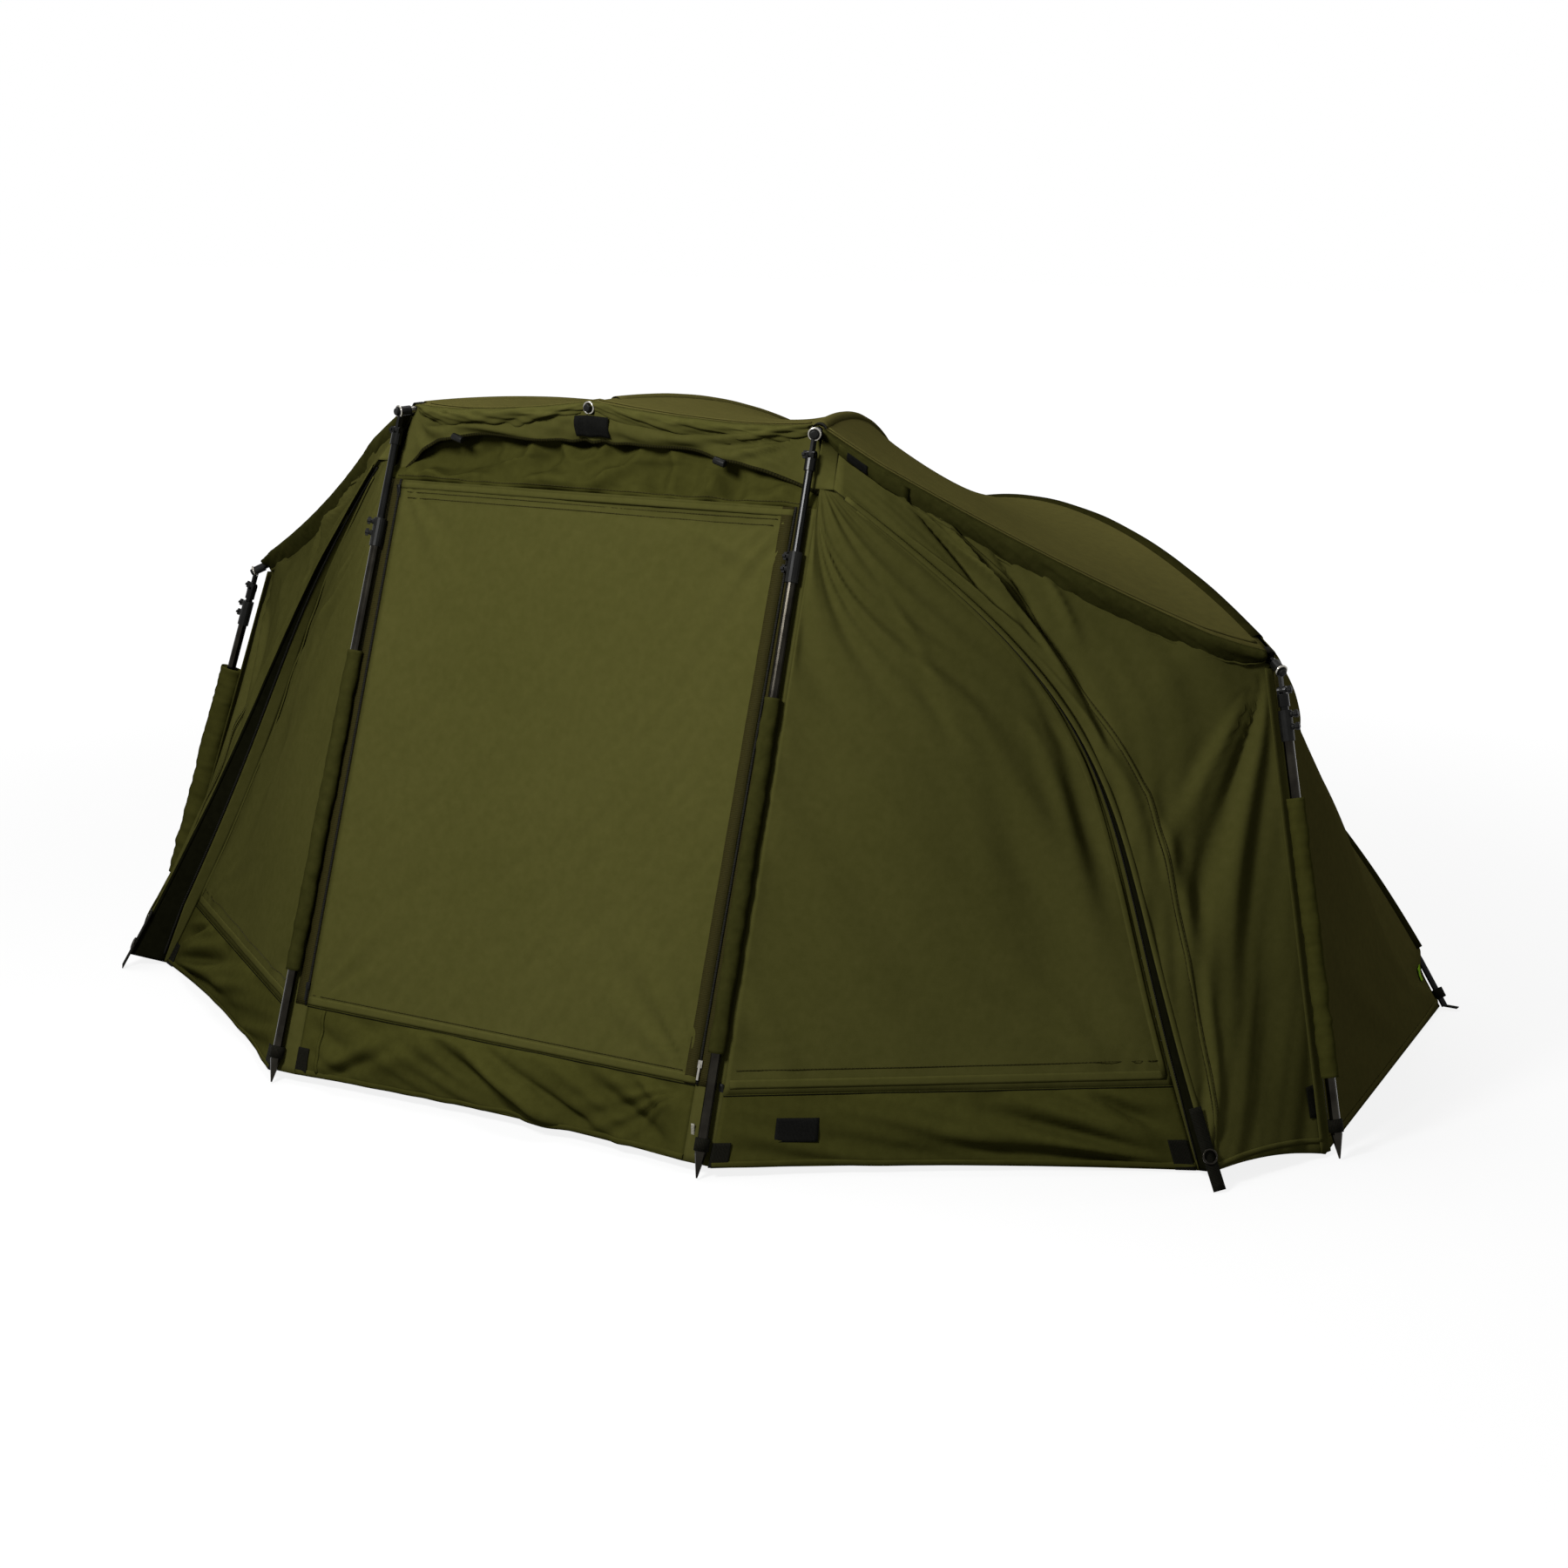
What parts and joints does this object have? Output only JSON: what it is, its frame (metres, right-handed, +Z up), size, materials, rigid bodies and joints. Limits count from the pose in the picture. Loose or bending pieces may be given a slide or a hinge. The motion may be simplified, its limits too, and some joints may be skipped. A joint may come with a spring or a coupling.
{
  "type": "bivvy tent",
  "caption": "Umbrella frame fishing shelter with telescopic storm poles, a sewn cover, zipped centre and side doors, ground skirts and storm wings.",
  "frame": {"origin": "on the ground, in the middle of the tent's width and depth", "axes": "+X to the right seen from the front, +Y from the doors to the back, +Z up"},
  "size_m": [2.981, 2.5113, 1.3624],
  "materials": {
    "cover_cloth": "coated olive polyester, soft satin",
    "anodised_tube": "black anodised, satin",
    "moulded_plastic": "black moulded, fine grain",
    "nickelled_zinc": "nickel plated, worn satin"
  },
  "bodies": {
    "tent": {"hub_body": "moulded_plastic", "hub_cap": "moulded_plastic", "rib_front_centre": "anodised_tube", "rib_inner_right": "anodised_tube", "rib_inner_left": "anodised_tube", "rib_outer_right": "anodised_tube", "rib_outer_left": "anodised_tube", "rib_rear_right": "anodised_tube", "rib_rear_left": "anodised_tube", "rib_back_right": "anodised_tube", "rib_back_left": "anodised_tube", "head_knuckle_inner_right": "moulded_plastic", "head_knuckle_inner_left": "moulded_plastic", "head_knuckle_outer_right": "moulded_plastic", "head_knuckle_outer_left": "moulded_plastic", "roof_front": "cover_cloth", "roof_corner_right": "cover_cloth", "roof_corner_left": "cover_cloth", "roof_side_right": "cover_cloth", "roof_side_left": "cover_cloth", "roof_rear_right": "cover_cloth", "roof_rear_left": "cover_cloth", "roof_back": "cover_cloth", "wing_right": "cover_cloth", "wing_left": "cover_cloth", "side_skirt_right": "cover_cloth", "side_skirt_left": "cover_cloth", "front_strip_right": "cover_cloth", "front_strip_left": "cover_cloth", "front_header": "cover_cloth", "front_skirt": "cover_cloth"},
    "upper_pole_inner_right": {"upper_tube_inner_right": "anodised_tube"},
    "upper_pole_inner_left": {"upper_tube_inner_left": "anodised_tube"},
    "upper_pole_outer_right": {"upper_tube_outer_right": "anodised_tube"},
    "upper_pole_outer_left": {"upper_tube_outer_left": "anodised_tube"},
    "lower_pole_inner_right": {"lower_tube_inner_right": "anodised_tube", "lock_collar_inner_right": "moulded_plastic"},
    "lower_pole_inner_left": {"lower_tube_inner_left": "anodised_tube", "lock_collar_inner_left": "moulded_plastic"},
    "lower_pole_outer_right": {"lower_tube_outer_right": "anodised_tube", "lock_collar_outer_right": "moulded_plastic"},
    "lower_pole_outer_left": {"lower_tube_outer_left": "anodised_tube", "lock_collar_outer_left": "moulded_plastic"},
    "tilt_knob_inner_right": {"tilt_screw_inner_right": "moulded_plastic"},
    "tilt_knob_inner_left": {"tilt_screw_inner_left": "moulded_plastic"},
    "tilt_knob_outer_right": {"tilt_screw_outer_right": "moulded_plastic"},
    "tilt_knob_outer_left": {"tilt_screw_outer_left": "moulded_plastic"},
    "lower_knob_inner_right": {"lock_screw_lower_inner_right": "moulded_plastic"},
    "lower_knob_inner_left": {"lock_screw_lower_inner_left": "moulded_plastic"},
    "lower_knob_outer_right": {"lock_screw_lower_outer_right": "moulded_plastic"},
    "lower_knob_outer_left": {"lock_screw_lower_outer_left": "moulded_plastic"},
    "upper_knob_inner_right": {"lock_screw_upper_inner_right": "moulded_plastic"},
    "upper_knob_inner_left": {"lock_screw_upper_inner_left": "moulded_plastic"},
    "upper_knob_outer_right": {"lock_screw_upper_outer_right": "moulded_plastic"},
    "upper_knob_outer_left": {"lock_screw_upper_outer_left": "moulded_plastic"},
    "front_door": {"front_door": "cover_cloth"},
    "side_door_right": {"side_door_right": "cover_cloth"},
    "side_door_left": {"side_door_left": "cover_cloth"},
    "zip_slider_right": {"zip_slider_right": "nickelled_zinc"},
    "zip_slider_left": {"zip_slider_left": "nickelled_zinc"}
  },
  "joints": [
    {"name": "pole_tilt_inner_right", "type": "hinge", "parent": "tent", "child": "upper_pole_inner_right", "pos_m": [0.49357, -0.80959, 1.28221], "axis": [-0.9999, -0.0047, -0.0135], "range_deg": [0, 35]},
    {"name": "pole_tilt_inner_left", "type": "hinge", "parent": "tent", "child": "upper_pole_inner_left", "pos_m": [-0.49357, -0.80959, 1.28221], "axis": [-0.9999, 0.0047, 0.0135], "range_deg": [0, 35]},
    {"name": "pole_tilt_outer_right", "type": "hinge", "parent": "tent", "child": "upper_pole_outer_right", "pos_m": [1.28332, -0.40322, 0.84569], "axis": [-0.9725, -0.0403, -0.2296], "range_deg": [0, 35]},
    {"name": "pole_tilt_outer_left", "type": "hinge", "parent": "tent", "child": "upper_pole_outer_left", "pos_m": [-1.28332, -0.40322, 0.84569], "axis": [-0.9725, 0.0403, 0.2296], "range_deg": [0, 35]},
    {"name": "pole_slide_inner_right", "type": "slide", "parent": "upper_pole_inner_right", "child": "lower_pole_inner_right", "axis": [-0.0143, 0.3272, 0.9448], "range_m": [-0.1, 0.15]},
    {"name": "pole_slide_inner_left", "type": "slide", "parent": "upper_pole_inner_left", "child": "lower_pole_inner_left", "axis": [0.0143, 0.3272, 0.9448], "range_m": [-0.1, 0.15]},
    {"name": "pole_slide_outer_right", "type": "slide", "parent": "upper_pole_outer_right", "child": "lower_pole_outer_right", "axis": [-0.2331, 0.168, 0.9578], "range_m": [-0.08, 0.006]},
    {"name": "pole_slide_outer_left", "type": "slide", "parent": "upper_pole_outer_left", "child": "lower_pole_outer_left", "axis": [0.2331, 0.168, 0.9578], "range_m": [-0.08, 0.006]},
    {"name": "tilt_knob_turn_inner_right", "type": "hinge", "parent": "upper_pole_inner_right", "child": "tilt_knob_inner_right", "pos_m": [0.49357, -0.80959, 1.28221], "axis": [-0.9999, -0.0047, -0.0135], "range_deg": [0, 360]},
    {"name": "tilt_knob_turn_inner_left", "type": "hinge", "parent": "upper_pole_inner_left", "child": "tilt_knob_inner_left", "pos_m": [-0.49357, -0.80959, 1.28221], "axis": [-0.9999, 0.0047, 0.0135], "range_deg": [0, 360]},
    {"name": "tilt_knob_turn_outer_right", "type": "hinge", "parent": "upper_pole_outer_right", "child": "tilt_knob_outer_right", "pos_m": [1.28332, -0.40322, 0.84569], "axis": [0.9725, 0.0403, 0.2296], "range_deg": [0, 360]},
    {"name": "tilt_knob_turn_outer_left", "type": "hinge", "parent": "upper_pole_outer_left", "child": "tilt_knob_outer_left", "pos_m": [-1.28332, -0.40322, 0.84569], "axis": [-0.9725, 0.0403, 0.2296], "range_deg": [0, 360]},
    {"name": "lower_knob_turn_inner_right", "type": "hinge", "parent": "lower_pole_inner_right", "child": "lower_knob_inner_right", "pos_m": [0.4967, -0.88111, 1.07571], "axis": [-0.9999, -0.0047, -0.0135], "range_deg": [0, 360]},
    {"name": "lower_knob_turn_inner_left", "type": "hinge", "parent": "lower_pole_inner_left", "child": "lower_knob_inner_left", "pos_m": [-0.4967, -0.88111, 1.07571], "axis": [-0.7986, -0.5649, 0.2078], "range_deg": [0, 360]},
    {"name": "lower_knob_turn_outer_right", "type": "hinge", "parent": "lower_pole_outer_right", "child": "lower_knob_outer_right", "pos_m": [1.29975, -0.41506, 0.77819], "axis": [0.9725, 0.0403, 0.2296], "range_deg": [0, 360]},
    {"name": "lower_knob_turn_outer_left", "type": "hinge", "parent": "lower_pole_outer_left", "child": "lower_knob_outer_left", "pos_m": [-1.29975, -0.41506, 0.77819], "axis": [-0.9725, 0.0403, 0.2296], "range_deg": [0, 360]},
    {"name": "upper_knob_turn_inner_right", "type": "hinge", "parent": "lower_pole_inner_right", "child": "upper_knob_inner_right", "pos_m": [0.49636, -0.87325, 1.09839], "axis": [-0.9999, -0.0047, -0.0135], "range_deg": [0, 360]},
    {"name": "upper_knob_turn_inner_left", "type": "hinge", "parent": "lower_pole_inner_left", "child": "upper_knob_inner_left", "pos_m": [-0.49636, -0.87325, 1.09839], "axis": [-0.7986, -0.5649, 0.2078], "range_deg": [0, 360]},
    {"name": "upper_knob_turn_outer_right", "type": "hinge", "parent": "lower_pole_outer_right", "child": "upper_knob_outer_right", "pos_m": [1.29415, -0.41103, 0.80118], "axis": [0.9725, 0.0403, 0.2296], "range_deg": [0, 360]},
    {"name": "upper_knob_turn_outer_left", "type": "hinge", "parent": "lower_pole_outer_left", "child": "upper_knob_outer_left", "pos_m": [-1.29415, -0.41103, 0.80118], "axis": [-0.9725, 0.0403, 0.2296], "range_deg": [0, 360]},
    {"name": "front_door_lift", "type": "hinge", "parent": "tent", "child": "front_door", "pos_m": [0, -0.82947, 1.18465], "axis": [-1, 0, 0], "range_deg": [0, 70]},
    {"name": "side_door_drop_right", "type": "hinge", "parent": "tent", "child": "side_door_right", "pos_m": [0.53241, -1.18932, 0.144], "axis": [0.8227, 0.5685, 0], "range_deg": [0, 95]},
    {"name": "side_door_drop_left", "type": "hinge", "parent": "tent", "child": "side_door_left", "pos_m": [-0.53241, -1.18932, 0.144], "axis": [0.8227, -0.5685, 0], "range_deg": [0, 95]},
    {"name": "zip_run_right", "type": "slide", "parent": "tent", "child": "zip_slider_right", "axis": [0, 0.3272, 0.945], "range_m": [0, 0.95]},
    {"name": "zip_run_left", "type": "slide", "parent": "tent", "child": "zip_slider_left", "axis": [0, 0.3272, 0.945], "range_m": [0, 0.95]}
  ]
}
